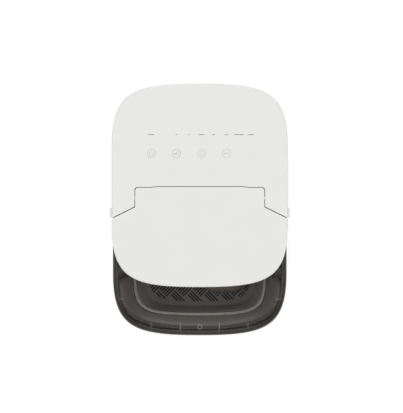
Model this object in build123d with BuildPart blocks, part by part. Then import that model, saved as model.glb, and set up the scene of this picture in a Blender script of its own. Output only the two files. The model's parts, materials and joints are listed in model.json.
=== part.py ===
"""Countertop ice maker: hinged lid with a smoky window, ice basket, tilting-tray ice maker and its refrigeration.

Millimetres. Origin on the surface it stands on, below the middle of the body. +Z up, front faces -Y.
"""

import os
from math import cos, radians, sin, sqrt

from build123d import *

os.makedirs("parts", exist_ok=True)

# ---- body ----
WIDTH = 224.0
DEPTH = 320.0
TOP = 320.0
CORNER_RUN = 78.8
CORNER_PULL_X = 28.0
CORNER_PULL_Y = 8.6
SKIN_INSET = 1.5
WALL = 2.5
FOOT_HEIGHT = 8.0
BASE_THICKNESS = 3.0
BASE_TOP = FOOT_HEIGHT + BASE_THICKNESS
HOUSING_TOP = 286.0
COVER_BOTTOM = 288.0
COVER_WALL = 3.0
COVER_ROUND = 3.0

# ---- lid ----
SEAM_GAP = 0.8
SEAM_X = 82.6
SEAM_REAR = 28.2
SEAM_CROWN = 1.1
SEAM_KNEE = 3.4
SEAM_SIDE = -11.2
PANEL_FRONT = -98.7
PANEL_THICKNESS = 4.0
PANEL_ROUND = 1.6
WINDOW_TOP = TOP - PANEL_THICKNESS
WINDOW_WALL = 2.5
WINDOW_ROUND = 8.0
WINDOW_REAR = -12.5
HINGE_Y = 14.7
HINGE_Z = 316.0
HINGE_PIN_R = 2.0
RUNNING = 0.05

# ---- bin and basket ----
BIN_HALF = 84.0
BIN_FRONT = -134.4
BIN_CORNER = 52.0
TANK_BACK = 56.0
TANK_FLOOR = 92.0
DECK_TOP = 281.0
DECK_LOW = 268.0
DECK_STEP_Y = -73.6
BASKET_BACK = -16.0
BASKET_TOP = 272.0
BASKET_FLOOR = 198.0
BASKET_WALL = 2.2
BASKET_TAPER = 9.0

# ---- ice maker ----
TRAY_Y = 20.0
TRAY_Z = 236.0
TRAY_R = 26.0
TRAY_HALF = 58.0
PIVOT_R = 4.0
FRAME_X = 65.0

# ---- machine room ----
POWER_BOARD_X = -40.0
POWER_BOARD_Y = 62.0
POWER_BOARD_Z = 190.0
FAN_Y = 103.0
FAN_Z = 75.0
CONDENSER_X = 88.0
CONDENSER_Y = 96.0
DRAIN_Y = -60.0
DRAIN_Z = 40.0
PUMP_X = 40.0
PUMP_Y = -40.0


def save(piece, label):
    """Name a finished piece and write it."""
    piece.part.label = label
    export_step(piece.part, f"parts/{label}.step")


def soft_plan(half_width, front, back):
    """Face with straight sides that run into long soft corners at the front and back."""
    with BuildLine() as outline:
        Bezier(
            (0, back),
            (half_width - CORNER_PULL_X, back),
            (half_width, back - CORNER_PULL_Y),
            (half_width, back - CORNER_RUN),
        )
        Line((half_width, back - CORNER_RUN), (half_width, front + CORNER_RUN))
        Bezier(
            (half_width, front + CORNER_RUN),
            (half_width, front + CORNER_PULL_Y),
            (half_width - CORNER_PULL_X, front),
            (0, front),
        )
        mirror(about=Plane.YZ)
    with BuildSketch() as plan:
        make_face(outline.edges())
    return plan.sketch


def body_plan(inset):
    """Plan of the body, drawn inset from its widest outline."""
    return soft_plan(WIDTH / 2 - inset, inset - DEPTH / 2, DEPTH / 2 - inset)


def lid_side(shift):
    """Everything in front of the lid seam, with the seam moved back by shift."""
    x = SEAM_X + shift
    rear = SEAM_REAR + shift
    far = WIDTH
    slope = (SEAM_KNEE - SEAM_SIDE) / (WIDTH / 2 - SEAM_X)
    half = [
        (52.0, rear + SEAM_CROWN),
        (64.0, rear),
        (x, rear),
        (x, SEAM_KNEE + shift),
        (far, SEAM_KNEE + shift - slope * (far - x)),
        (far, -DEPTH),
    ]
    other_half = [(-px, py) for px, py in reversed(half)]
    with BuildSketch() as region:
        with BuildLine():
            Polyline(*half, *other_half, close=True)
        make_face()
        corners = region.vertices().filter_by_position(Axis.Y, rear - 0.1, rear + 0.1)
        fillet(corners.filter_by(lambda v: abs(v.X) > x - 0.1), radius=4.0)
    return region.sketch


def bin_plan(grow, back):
    """Plan of the bin's mouth: tight soft corners in front, small round ones behind."""
    x = BIN_HALF + grow
    front = BIN_FRONT - grow
    rear = back + grow
    corner = 10.0
    with BuildLine() as outline:
        Bezier((0, front), (x - 8.0, front), (x, front + 4.0), (x, front + BIN_CORNER))
        Line((x, front + BIN_CORNER), (x, rear - corner))
        RadiusArc((x, rear - corner), (x - corner, rear), -corner)
        Line((x - corner, rear), (0, rear))
        mirror(about=Plane.YZ)
    with BuildSketch() as plan:
        make_face(outline.edges())
    return plan.sketch


def soft_cap(half_width, front, back, bottom, top, rounding):
    """Block with the body's plan and a rounded top edge."""
    with BuildPart() as cap:
        with BuildSketch(Plane.XY.offset(bottom)):
            add(soft_plan(half_width, front, back))
        extrude(amount=top - bottom)
        fillet(cap.faces().sort_by(Axis.Z)[-1].edges(), radius=rounding)
    return cap.part


def pipe(points, bend, radius):
    """Tube run bent round the given corners."""
    with BuildPart() as run:
        with BuildLine() as path:
            FilletPolyline(*points, radius=bend)
        with BuildSketch(Plane(origin=path.line @ 0, z_dir=path.line % 0)):
            Circle(radius)
        sweep()
    return run


# ---- base and housing ----
SCREW_SPOTS = [(side * 102.0, y) for side in (-1, 1) for y in (-60.0, 0.0, 60.0)]

with BuildPart() as base_plate:
    with BuildSketch(Plane.XY.offset(FOOT_HEIGHT)):
        add(body_plan(SKIN_INSET))
        with Locations(*SCREW_SPOTS):
            Circle(1.5, mode=Mode.SUBTRACT)
    extrude(amount=BASE_THICKNESS)
save(base_plate, "base_plate")

for side, end in ((-1, -1), (1, -1), (-1, 1), (1, 1)):
    with BuildPart() as rubber_foot:
        with BuildSketch(Plane.XY):
            with Locations((side * 78.0, end * 112.0)):
                Circle(12.0)
        extrude(amount=FOOT_HEIGHT)
        chamfer(rubber_foot.edges().group_by(Axis.Z)[0], length=1.5)
    hand = "left" if side < 0 else "right"
    place = "front" if end < 0 else "rear"
    save(rubber_foot, f"rubber_foot_{place}_{hand}")

with BuildPart() as base_screws:
    with BuildSketch(Plane.XY.offset(FOOT_HEIGHT - 1.6)):
        with Locations(*SCREW_SPOTS):
            Circle(3.0)
    extrude(amount=1.6)
    with BuildSketch(Plane.XY.offset(FOOT_HEIGHT)):
        with Locations(*SCREW_SPOTS):
            Circle(1.5)
    extrude(amount=14.0)
save(base_screws, "base_screws")

INLET_X = 0.0
INLET_Z = 38.0
with BuildPart() as outer_housing:
    with BuildSketch(Plane.XY.offset(BASE_TOP)):
        add(body_plan(SKIN_INSET))
        add(body_plan(SKIN_INSET + WALL), mode=Mode.SUBTRACT)
    extrude(amount=HOUSING_TOP - BASE_TOP)
    # Screw bosses on the inside of each wall.
    with BuildSketch(Plane.XY.offset(BASE_TOP)):
        with Locations(*SCREW_SPOTS):
            Circle(6.5)
    extrude(amount=22.0)
    with BuildSketch(Plane.XY.offset(BASE_TOP)):
        with Locations(*SCREW_SPOTS):
            Circle(1.5)
    extrude(amount=15.0, mode=Mode.SUBTRACT)
    # Louvre slots on both sides of the machine room.
    for side in (-1, 1):
        with BuildSketch(Plane.YZ.offset(side * WIDTH / 2)):
            with Locations((CONDENSER_Y, FAN_Z)):
                with GridLocations(1.0, 8.0, 1, 12):
                    Rectangle(60.0, 3.2)
        extrude(amount=-side * 30.0, mode=Mode.SUBTRACT)
    # Power inlet cut-out at the back, drain hole at the right.
    with BuildSketch(Plane.XZ.offset(-DEPTH / 2)):
        with Locations((INLET_X, INLET_Z)):
            Rectangle(28.0, 20.0)
    extrude(amount=12.0, mode=Mode.SUBTRACT)
    with BuildSketch(Plane.YZ.offset(WIDTH / 2)):
        with Locations((DRAIN_Y, DRAIN_Z)):
            Circle(9.0)
    extrude(amount=-12.0, mode=Mode.SUBTRACT)
save(outer_housing, "outer_housing")

with BuildPart() as power_inlet:
    back_face = DEPTH / 2 - SKIN_INSET
    with BuildSketch(Plane.XZ.offset(-back_face)):
        with Locations((INLET_X, INLET_Z)):
            RectangleRounded(34.0, 26.0, 3.0)
    extrude(amount=-1.4)
    with BuildSketch(Plane.XZ.offset(-back_face)):
        with Locations((INLET_X, INLET_Z)):
            Rectangle(27.6, 19.6)
    extrude(amount=22.0)
    with BuildSketch(Plane.XZ.offset(-back_face - 1.4)):
        with Locations((INLET_X, INLET_Z)):
            Rectangle(23.0, 15.0)
    extrude(amount=18.0, mode=Mode.SUBTRACT)
    with BuildSketch(Plane.XZ.offset(-back_face + 17.0)):
        with Locations((INLET_X - 7, INLET_Z - 2), (INLET_X, INLET_Z + 3), (INLET_X + 7, INLET_Z - 2)):
            Rectangle(1.6, 4.0)
    extrude(amount=-13.0)
save(power_inlet, "power_inlet")

# ---- top cover and lid ----
KEY_PITCH = 31.8
FIRST_KEY_X = -61.3
KEY_Y = 71.4
KEYS = [(FIRST_KEY_X + KEY_PITCH * i, KEY_Y) for i in range(4)]
BOARD_POSTS = [(x, y) for x in (-84.0, 80.0) for y in (58.0, 108.0)]
BOARD_TOP = 302.0

with BuildPart() as rear_cover:
    add(soft_cap(WIDTH / 2, -DEPTH / 2, DEPTH / 2, COVER_BOTTOM, TOP, COVER_ROUND))
    with BuildSketch(Plane.XY.offset(COVER_BOTTOM)):
        add(body_plan(COVER_WALL))
        add(lid_side(SEAM_GAP / 2 + COVER_WALL), mode=Mode.SUBTRACT)
    extrude(amount=TOP - COVER_WALL - COVER_BOTTOM, mode=Mode.SUBTRACT)
    with BuildSketch(Plane.XY.offset(COVER_BOTTOM)):
        add(lid_side(SEAM_GAP / 2))
    extrude(amount=TOP, mode=Mode.SUBTRACT)
    # Bosses that hold the hinge pins, under the wings.
    with BuildSketch(Plane.YZ.offset(SEAM_X + SEAM_GAP / 2)):
        with Locations((HINGE_Y, TOP - 6.0)):
            Rectangle(14.0, 12.0)
    extrude(amount=13.0)
    with BuildSketch(Plane.YZ.offset(-SEAM_X - SEAM_GAP / 2)):
        with Locations((HINGE_Y, TOP - 6.0)):
            Rectangle(14.0, 12.0)
    extrude(amount=-13.0)
    with BuildSketch(Plane.YZ):
        with Locations((HINGE_Y, HINGE_Z)):
            Circle(HINGE_PIN_R)
    extrude(amount=SEAM_X + 12.0, both=True, mode=Mode.SUBTRACT)
    # Small lug on each side, just behind the end of the seam.
    for side in (-1, 1):
        edge = side * WIDTH / 2
        out = side * 2.5
        with BuildSketch(Plane.XY.offset(COVER_BOTTOM + 4)):
            with BuildLine():
                Polyline(
                    (edge - out, 3.2),
                    (edge, 3.2),
                    (edge + out, 0.2),
                    (edge + out, -9.0),
                    (edge, -10.4),
                    (edge - out, -10.4),
                    close=True,
                )
            make_face()
        extrude(amount=24.0)
    # Posts for the control board.
    with BuildSketch(Plane.XY.offset(BOARD_TOP)):
        with Locations(*BOARD_POSTS):
            Circle(3.5)
    extrude(amount=TOP - COVER_WALL - BOARD_TOP)
    with BuildSketch(Plane.XY.offset(BOARD_TOP)):
        with Locations(*BOARD_POSTS):
            Circle(1.2)
    extrude(amount=9.0, mode=Mode.SUBTRACT)
save(rear_cover, "rear_cover")

with BuildPart() as lid_panel:
    add(soft_cap(WIDTH / 2, PANEL_FRONT, DEPTH / 2, WINDOW_TOP, TOP, PANEL_ROUND))
    with BuildSketch(Plane.XY.offset(WINDOW_TOP)):
        add(lid_side(-SEAM_GAP / 2))
    extrude(amount=PANEL_THICKNESS, mode=Mode.INTERSECT)
    # Knuckles under the rear tab, one for each pin.
    for side in (-1, 1):
        with BuildSketch(Plane.YZ.offset(side * (SEAM_X - SEAM_GAP / 2))):
            with Locations((HINGE_Y, HINGE_Z - 2.5)):
                Rectangle(12.0, 9.0)
        extrude(amount=-side * 14.0)
    with BuildSketch(Plane.YZ):
        with Locations((HINGE_Y, HINGE_Z)):
            Circle(HINGE_PIN_R + RUNNING)
    extrude(amount=WIDTH / 2, both=True, mode=Mode.SUBTRACT)
    with BuildSketch(Plane.XY.offset(WINDOW_TOP)):
        with Locations((0, HINGE_Y)):
            Rectangle(2 * (SEAM_X - SEAM_GAP / 2) - 28.0, 2 * HINGE_PIN_R + 0.2)
    extrude(amount=HINGE_PIN_R + 0.2)
save(lid_panel, "lid_panel")

for side, hand in ((-1, "left"), (1, "right")):
    with BuildPart() as hinge_pin:
        with BuildSketch(Plane.YZ.offset(side * 72.0)):
            with Locations((HINGE_Y, HINGE_Z)):
                Circle(HINGE_PIN_R)
        extrude(amount=side * 22.6)
    save(hinge_pin, f"hinge_pin_{hand}")

RIB = 1.2
BOSS_Y = -149.3
window_half = WIDTH / 2 - SKIN_INSET
window_hollow = soft_cap(
    window_half - WINDOW_WALL,
    WINDOW_WALL - DEPTH / 2,
    DEPTH / 2,
    COVER_BOTTOM,
    WINDOW_TOP - WINDOW_WALL,
    WINDOW_ROUND - WINDOW_WALL,
)
# Stiffening ribs inside the front of the skirt, and one on each side, trimmed to the hollow.
with BuildPart() as window_ribs:
    add(window_hollow)
    with BuildSketch(Plane.XY.offset(WINDOW_TOP - WINDOW_WALL - 11.0)):
        with Locations((-61.3, -153.0), (-24.8, -153.0), (24.8, -153.0), (61.3, -153.0)):
            Rectangle(RIB, 18.0)
        with Locations((-105.0, -114.0), (105.0, -114.0)):
            Rectangle(14.0, RIB)
    extrude(amount=11.0, mode=Mode.INTERSECT)

with BuildPart() as lid_window:
    add(soft_cap(window_half, -DEPTH / 2, DEPTH / 2, COVER_BOTTOM, WINDOW_TOP, WINDOW_ROUND))
    add(window_hollow, mode=Mode.SUBTRACT)
    with BuildSketch(Plane.XY.offset(COVER_BOTTOM)):
        with Locations((0, WINDOW_REAR)):
            Rectangle(2 * WIDTH, DEPTH, align=(Align.CENTER, Align.MIN))
    extrude(amount=TOP, mode=Mode.SUBTRACT)
    add(window_ribs.part)
    # Ring boss for the magnet.
    with BuildSketch(Plane.XY.offset(WINDOW_TOP - WINDOW_WALL - 12.0)):
        with Locations((0, BOSS_Y)):
            Circle(3.2)
    extrude(amount=13.0)
    with BuildSketch(Plane.XY.offset(WINDOW_TOP - WINDOW_WALL - 12.0)):
        with Locations((0, BOSS_Y)):
            Circle(1.5)
    extrude(amount=10.0, mode=Mode.SUBTRACT)
save(lid_window, "lid_window")

with BuildPart() as lid_magnet:
    with BuildSketch(Plane.XY.offset(WINDOW_TOP - WINDOW_WALL - 11.5)):
        with Locations((0, BOSS_Y)):
            Circle(1.5)
    extrude(amount=9.0)
save(lid_magnet, "lid_magnet")

# ---- controls ----
with BuildPart() as control_board:
    with BuildSketch(Plane.XY.offset(BOARD_TOP - 1.6)):
        with Locations((-2.0, 83.0)):
            Rectangle(176.0, 62.0)
        with Locations(*BOARD_POSTS):
            Circle(1.3, mode=Mode.SUBTRACT)
    extrude(amount=1.6)
save(control_board, "control_board")

with BuildPart() as board_screws:
    with BuildSketch(Plane.XY.offset(BOARD_TOP - 3.2)):
        with Locations(*BOARD_POSTS):
            Circle(2.4)
    extrude(amount=1.6)
    with BuildSketch(Plane.XY.offset(BOARD_TOP - 1.6)):
        with Locations(*BOARD_POSTS):
            Circle(1.2)
    extrude(amount=9.0)
save(board_screws, "board_screws")

with BuildPart() as touch_springs:
    with Locations(*[(x, y, BOARD_TOP) for x, y in KEYS]):
        Cone(
            bottom_radius=3.2,
            top_radius=5.0,
            height=TOP - COVER_WALL - BOARD_TOP,
            align=(Align.CENTER, Align.CENTER, Align.MIN),
        )
save(touch_springs, "touch_springs")

LIGHT_Y = 95.7
LIGHT_XS = [-62.0, -29.7, -13.6, 1.9, 17.5, 33.8, 49.7, 65.2]
with BuildPart() as indicator_lights:
    with BuildSketch(Plane.XY.offset(BOARD_TOP)):
        with Locations(*[(x, LIGHT_Y) for x in LIGHT_XS]):
            Rectangle(3.2, 1.8)
    extrude(amount=1.2)
save(indicator_lights, "indicator_lights")

with BuildPart() as power_board:
    with BuildSketch(Plane.XZ.offset(-POWER_BOARD_Y)):
        with Locations((POWER_BOARD_X, POWER_BOARD_Z)):
            Rectangle(66.0, 70.0)
    extrude(amount=-1.6)
    # Transformer, relay and two capacitors.
    with BuildSketch(Plane.XZ.offset(-POWER_BOARD_Y - 1.6)):
        with Locations((POWER_BOARD_X - 16.0, POWER_BOARD_Z + 14.0)):
            Rectangle(26.0, 28.0)
        with Locations((POWER_BOARD_X + 16.0, POWER_BOARD_Z + 18.0)):
            Rectangle(20.0, 16.0)
        with Locations((POWER_BOARD_X - 14.0, POWER_BOARD_Z - 20.0), (POWER_BOARD_X + 8.0, POWER_BOARD_Z - 20.0)):
            Circle(6.5)
    extrude(amount=-15.0)
save(power_board, "power_board")

# ---- bin liner, bezel and insulation ----
TANK_INSIDE = 1.0
TANK_OUTSIDE = TANK_INSIDE + WALL
TUBE_HOLES = [(-40.0, 272.0, 3.4), (12.0, 272.0, 3.0), (40.0, 272.0, 2.4), (8.0, 260.0, 5.0)]
with BuildPart() as bin_liner:
    with BuildSketch(Plane.XY.offset(TANK_FLOOR)):
        add(bin_plan(TANK_OUTSIDE, TANK_BACK))
    extrude(amount=DECK_TOP - TANK_FLOOR)
    # Deck: high in front, a lower shelf beside the ice maker.
    with BuildSketch(Plane.XY.offset(DECK_TOP - WALL)):
        add(body_plan(SKIN_INSET + WALL + 0.3))
        with Locations((0, DECK_STEP_Y)):
            Rectangle(2 * WIDTH, DEPTH, align=(Align.CENTER, Align.MIN), mode=Mode.SUBTRACT)
    extrude(amount=WALL)
    with BuildSketch(Plane.XY.offset(DECK_LOW - WALL)):
        add(body_plan(SKIN_INSET + WALL + 0.3))
        with Locations((0, TANK_BACK + TANK_OUTSIDE)):
            Rectangle(2 * WIDTH, DEPTH, align=(Align.CENTER, Align.MIN), mode=Mode.SUBTRACT)
        with Locations((0, DECK_STEP_Y - WALL)):
            Rectangle(2 * WIDTH, DEPTH, align=(Align.CENTER, Align.MAX), mode=Mode.SUBTRACT)
    extrude(amount=WALL)
    with BuildSketch(Plane.XY.offset(DECK_LOW - WALL)):
        add(body_plan(SKIN_INSET + WALL + 0.3))
        with Locations((0, DECK_STEP_Y)):
            Rectangle(2 * WIDTH, DEPTH, align=(Align.CENTER, Align.MIN), mode=Mode.SUBTRACT)
        with Locations((0, DECK_STEP_Y - WALL)):
            Rectangle(2 * WIDTH, DEPTH, align=(Align.CENTER, Align.MAX), mode=Mode.SUBTRACT)
    extrude(amount=DECK_TOP - DECK_LOW + WALL)
    with BuildSketch(Plane.XY.offset(TANK_FLOOR + BASE_THICKNESS)):
        add(bin_plan(TANK_INSIDE, TANK_BACK))
    extrude(amount=TOP, mode=Mode.SUBTRACT)
    # Rails that the basket stands on.
    for side in (-1, 1):
        with BuildSketch(Plane.XY.offset(BASKET_FLOOR - BASKET_WALL - 8.0)):
            with Locations((side * (BIN_HALF + TANK_INSIDE - 10.0), -66.0)):
                Rectangle(22.0, 60.0)
        extrude(amount=8.0)
    # Standoffs for the power board, on the back wall.
    with BuildSketch(Plane.XZ.offset(-POWER_BOARD_Y)):
        with Locations((POWER_BOARD_X, POWER_BOARD_Z)):
            with GridLocations(56.0, 60.0, 2, 2):
                Circle(3.0)
    extrude(amount=POWER_BOARD_Y - TANK_BACK - TANK_OUTSIDE)
    # Holes for the tubes in the back wall, and for the pump and drain in the floor.
    for x, z, r in TUBE_HOLES:
        with BuildSketch(Plane.XZ.offset(-TANK_BACK - 8.0)):
            with Locations((x, z)):
                Circle(r)
        extrude(amount=12.0, mode=Mode.SUBTRACT)
    with BuildSketch(Plane.XY.offset(TANK_FLOOR)):
        with Locations((PUMP_X, PUMP_Y), (60.0, DRAIN_Y)):
            Circle(3.5)
    extrude(amount=BASE_THICKNESS, mode=Mode.SUBTRACT)
save(bin_liner, "bin_liner")

BEZEL_TOP = 291.0
BEZEL_HALF = 104.9
BEZEL_FRONT = -151.8
BEZEL_REAR = -86.6
BEZEL_PULL_X = 16.0
BEZEL_PULL_Y = 22.0
BEZEL_END_R = 11.0


def bezel_plan(inset):
    """Outer plan of the horseshoe bowl round the bin's mouth."""
    x = BEZEL_HALF - inset
    y = BEZEL_FRONT + inset
    with BuildLine() as outline:
        Bezier((0, y), (x - BEZEL_PULL_X, y), (x, y + BEZEL_PULL_Y), (x, BEZEL_REAR - BEZEL_END_R))
        RadiusArc((x, BEZEL_REAR - BEZEL_END_R), (x - BEZEL_END_R, BEZEL_REAR), -BEZEL_END_R)
        Line((x - BEZEL_END_R, BEZEL_REAR), (0, BEZEL_REAR))
        mirror(about=Plane.YZ)
    with BuildSketch() as plan:
        make_face(outline.edges())
    return plan.sketch


with BuildPart() as bin_bezel:
    with BuildSketch(Plane.XY.offset(DECK_TOP)):
        add(bezel_plan(0.0))
    extrude(amount=BEZEL_TOP - DECK_TOP)
    # Hollow it to a dish that falls from its outer edge to the bin's mouth.
    for inset, bottom in ((1.2, 289.2), (3.5, 287.0), (6.5, 285.2), (10.0, 284.0), (14.0, 283.2)):
        with BuildSketch(Plane.XY.offset(bottom)):
            add(bezel_plan(inset))
        extrude(amount=BEZEL_TOP - bottom, mode=Mode.SUBTRACT)
    with BuildSketch(Plane.XY.offset(DECK_TOP)):
        add(bin_plan(TANK_INSIDE, TANK_BACK))
    extrude(amount=BEZEL_TOP, mode=Mode.SUBTRACT)
save(bin_bezel, "bin_bezel")

with BuildPart() as insulation_jacket:
    with BuildSketch(Plane.XY.offset(TANK_FLOOR)):
        add(bin_plan(TANK_OUTSIDE + 11.0, TANK_BACK))
        add(bin_plan(TANK_OUTSIDE + 0.2, TANK_BACK), mode=Mode.SUBTRACT)
        with Locations((0, TANK_BACK - 12.0)):
            Rectangle(2 * WIDTH, DEPTH, align=(Align.CENTER, Align.MIN), mode=Mode.SUBTRACT)
    extrude(amount=DECK_LOW - WALL - TANK_FLOOR - 0.5)
save(insulation_jacket, "insulation_jacket")

# ---- ice basket and scoop ----
SLOT_BLOCK = 15.2
SLOTS_PER_BLOCK = 5
SLOT_WIDTH = 1.6
SLOT_SHARE = 0.9
SLOT_MARGIN = 17.0
SLOT_OVERRUN = 3.0


def herringbone():
    """Centres and angles of floor slots, five to a block, the blocks laid in a herringbone."""
    spots = []
    turn = radians(45)
    half_x = BIN_HALF - SLOT_MARGIN + SLOT_OVERRUN
    low_y = BIN_FRONT + SLOT_MARGIN - SLOT_OVERRUN
    high_y = BASKET_BACK - SLOT_MARGIN + SLOT_OVERRUN
    for a in range(-14, 15):
        for b in range(-14, 15):
            corner_u = a + 2 * b
            corner_v = -a + 2 * b
            for line in range(SLOTS_PER_BLOCK):
                across = (line + 0.5) / SLOTS_PER_BLOCK
                for u, v, angle in (
                    (corner_u + 1.0, corner_v + across, 45),
                    (corner_u + 2 + across, corner_v + 1.0, 135),
                ):
                    x = SLOT_BLOCK * (u * cos(turn) - v * sin(turn))
                    y = SLOT_BLOCK * (u * sin(turn) + v * cos(turn)) - 70.0
                    if abs(x) < half_x and low_y < y < high_y:
                        spots.append((x, y, angle))
    return spots


with BuildPart() as ice_basket:
    with BuildSketch(Plane.XY.offset(BASKET_FLOOR - BASKET_WALL)):
        add(bin_plan(-BASKET_TAPER, BASKET_BACK))
    with BuildSketch(Plane.XY.offset(BASKET_TOP)):
        add(bin_plan(-1.6, BASKET_BACK))
    loft()
    with BuildSketch(Plane.XY.offset(BASKET_TOP - 2.0)):
        add(bin_plan(0.0, BASKET_BACK))
    extrude(amount=2.0)
    with BuildSketch(Plane.XY.offset(BASKET_FLOOR)):
        add(bin_plan(-BASKET_TAPER - BASKET_WALL, BASKET_BACK))
    with BuildSketch(Plane.XY.offset(BASKET_TOP)):
        add(bin_plan(-1.6 - BASKET_WALL / 2, BASKET_BACK))
    loft(mode=Mode.SUBTRACT)
    with BuildSketch(Plane.XY.offset(BASKET_FLOOR - BASKET_WALL)):
        for slot_x, slot_y, slot_angle in herringbone():
            with Locations(Location((slot_x, slot_y), slot_angle)):
                Rectangle(2 * SLOT_BLOCK * SLOT_SHARE, SLOT_WIDTH)
        add(bin_plan(-SLOT_MARGIN, BASKET_BACK), mode=Mode.INTERSECT)
    extrude(amount=BASKET_WALL, mode=Mode.SUBTRACT)
    # One row of slanted slots across the front wall, under the rim.
    with BuildSketch(Plane.XZ.offset(-BIN_FRONT - 16.0)):
        with Locations((2.0, 250.0)):
            with GridLocations(4.0, 1.0, 24, 1):
                Rectangle(SLOT_WIDTH, 26.0, rotation=-40)
    extrude(amount=20.0, mode=Mode.SUBTRACT)
    # Small lugs along the front of the rim.
    with BuildSketch(Plane.XY.offset(BASKET_TOP)):
        with Locations((-49.0, -132.2), (-31.0, -133.0), (31.2, -133.0), (49.2, -132.2)):
            Rectangle(3.4, 1.6)
    extrude(amount=2.4)
save(ice_basket, "ice_basket")

SCOOP_X = 30.0
SCOOP_FRONT = -106.0
with BuildPart() as ice_scoop:
    with BuildSketch(Plane.XY.offset(BASKET_FLOOR)) as bowl:
        with Locations((SCOOP_X, SCOOP_FRONT)):
            Rectangle(66.0, 52.0, align=(Align.CENTER, Align.MIN))
        fillet(bowl.vertices().group_by(Axis.Y)[0], radius=24.0)
        fillet(bowl.vertices().group_by(Axis.Y)[-1], radius=8.0)
    extrude(amount=20.0)
    fillet(ice_scoop.faces().sort_by(Axis.Z)[-1].edges(), radius=6.0)
    offset(amount=-2.0, openings=ice_scoop.faces().sort_by(Axis.Z)[0])
    with BuildSketch(Plane.XY.offset(BASKET_FLOOR + 6.0)):
        with Locations((SCOOP_X, SCOOP_FRONT + 51.0)):
            Rectangle(18.0, 27.0, align=(Align.CENTER, Align.MIN))
    extrude(amount=7.0)
save(ice_scoop, "ice_scoop")

# ---- ice-making mechanism ----
with BuildPart() as ice_maker_frame:
    with BuildSketch(Plane.YZ.offset(-FRAME_X - 3.0)):
        with Locations((TRAY_Y - 24.0, 226.0)):
            Rectangle(TANK_BACK + TANK_INSIDE - TRAY_Y + 24.0, 57.0, align=(Align.MIN, Align.MIN))
    extrude(amount=2 * FRAME_X + 6.0)
    with BuildSketch(Plane.YZ.offset(-FRAME_X)):
        with Locations((TRAY_Y - 34.0, 216.0)):
            Rectangle(120.0, 64.0, align=(Align.MIN, Align.MIN))
    extrude(amount=2 * FRAME_X, mode=Mode.SUBTRACT)
    with BuildSketch(Plane.YZ):
        with Locations((TRAY_Y, TRAY_Z)):
            Circle(PIVOT_R + RUNNING)
    extrude(amount=WIDTH / 2, both=True, mode=Mode.SUBTRACT)
save(ice_maker_frame, "ice_maker_frame")

FINGERS = [(x, TRAY_Y) for x in (-44, -33, -22, -11, 0, 11, 22, 33, 44)]
with BuildPart() as evaporator:
    with BuildSketch(Plane.XY.offset(266.0)):
        with Locations((0, TRAY_Y)):
            RectangleRounded(102.0, 14.0, 3.0)
    extrude(amount=14.0)
    with BuildSketch(Plane.XY.offset(220.0)):
        with Locations(*FINGERS):
            Circle(3.6)
    extrude(amount=46.0)
save(evaporator, "evaporator")


def sector(radius_out, radius_in, start, span):
    """Curved band of the tray's cross-section, seen along X, from start through span degrees."""
    with BuildLine() as band:
        outer = CenterArc((TRAY_Y, TRAY_Z), radius_out, start, span)
        inner = CenterArc((TRAY_Y, TRAY_Z), radius_in, start, span)
        Line(outer @ 0, inner @ 0)
        Line(outer @ 1, inner @ 1)
    with BuildSketch() as face:
        make_face(band.edges())
    return face.sketch


def pie(radius, start, span):
    """Wedge of a disc about the tray's axis, seen along X."""
    with BuildLine() as wedge:
        arc = CenterArc((TRAY_Y, TRAY_Z), radius, start, span)
        Line((TRAY_Y, TRAY_Z), arc @ 0)
        Line((TRAY_Y, TRAY_Z), arc @ 1)
    with BuildSketch() as face:
        make_face(wedge.edges())
    return face.sketch


TRAY_START = 200
TRAY_SPAN = 140
with BuildPart() as water_tray:
    with BuildSketch(Plane.YZ.offset(-TRAY_HALF)):
        add(sector(TRAY_R, TRAY_R - 2.0, TRAY_START, TRAY_SPAN))
    extrude(amount=2 * TRAY_HALF)
    for side in (-1, 1):
        with BuildSketch(Plane.YZ.offset(side * TRAY_HALF)):
            add(pie(TRAY_R, TRAY_START, TRAY_SPAN))
            with Locations((TRAY_Y, TRAY_Z)):
                Circle(7.0)
        extrude(amount=-side * 2.0)
        with BuildSketch(Plane.YZ.offset(side * TRAY_HALF)):
            with Locations((TRAY_Y, TRAY_Z)):
                Circle(PIVOT_R)
        extrude(amount=side * 11.0)
save(water_tray, "water_tray")

PUSHER_R = 30.0
with BuildPart() as ice_pusher:
    with BuildSketch(Plane.YZ.offset(-63.0)):
        add(sector(PUSHER_R, PUSHER_R - 2.0, 300, 30))
    extrude(amount=126.0)
    for side in (-1, 1):
        with BuildSketch(Plane.YZ.offset(side * 60.0)):
            add(pie(PUSHER_R, 300, 30))
            with Locations((TRAY_Y, TRAY_Z)):
                Circle(8.0)
        extrude(amount=side * 3.0)
    with BuildSketch(Plane.YZ):
        with Locations((TRAY_Y, TRAY_Z)):
            Circle(PIVOT_R + RUNNING)
    extrude(amount=WIDTH / 2, both=True, mode=Mode.SUBTRACT)
save(ice_pusher, "ice_pusher")

with BuildPart() as tray_motor:
    with BuildSketch(Plane.YZ.offset(FRAME_X + 3.0)):
        with Locations((TRAY_Y, TRAY_Z)):
            RectangleRounded(38.0, 42.0, 5.0)
    extrude(amount=14.0)
    with BuildSketch(Plane.YZ.offset(FRAME_X + 3.0)):
        with Locations((TRAY_Y, TRAY_Z)):
            Circle(PIVOT_R + RUNNING)
    extrude(amount=3.0, mode=Mode.SUBTRACT)
save(tray_motor, "tray_motor")

with BuildPart() as ice_full_sensors:
    for side in (-1, 1):
        with BuildSketch(Plane.XY.offset(252.0)):
            with Locations((side * (BIN_HALF + TANK_INSIDE - 3.0), -6.0)):
                Rectangle(6.0, 10.0)
        extrude(amount=12.0)
save(ice_full_sensors, "ice_full_sensors")

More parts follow.
